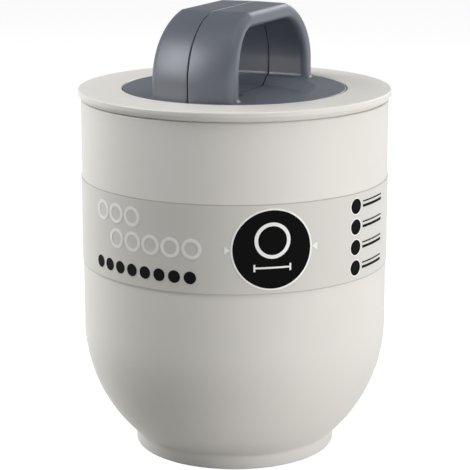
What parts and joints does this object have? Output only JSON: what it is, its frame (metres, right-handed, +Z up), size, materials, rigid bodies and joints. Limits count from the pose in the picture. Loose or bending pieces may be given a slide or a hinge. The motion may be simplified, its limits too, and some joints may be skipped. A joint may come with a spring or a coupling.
{
  "type": "ice ball mould",
  "caption": "Insulated round-bottomed cup with a two-part silicone ball mould hanging in its mouth, parted through the top disc and the arched strap handle.",
  "frame": {"origin": "centre of the foot ring, on the table that the cup stands on", "axes": "+Z up along the cup's axis; the handle spans along Y and the mould parts on the plane x = 0"},
  "size_m": [0.108, 0.108, 0.1547],
  "materials": {
    "cup_plastic": "fine matte moulded polypropylene",
    "rim_plastic": "satin moulded polypropylene",
    "foam": "beaded expanded polystyrene",
    "silicone": "satin moulded silicone rubber",
    "label_film": "satin plastic film",
    "black_ink": "satin printing ink",
    "white_ink": "satin printing ink"
  },
  "bodies": {
    "root": {"outer_shell": "cup_plastic", "foam_insulation": "foam", "inner_liner": "rim_plastic", "mould_half_left": "silicone", "mould_half_right": "silicone", "label_sleeve": "label_film", "label_print_black": "black_ink", "label_print_white": "white_ink"}
  },
  "joints": []
}
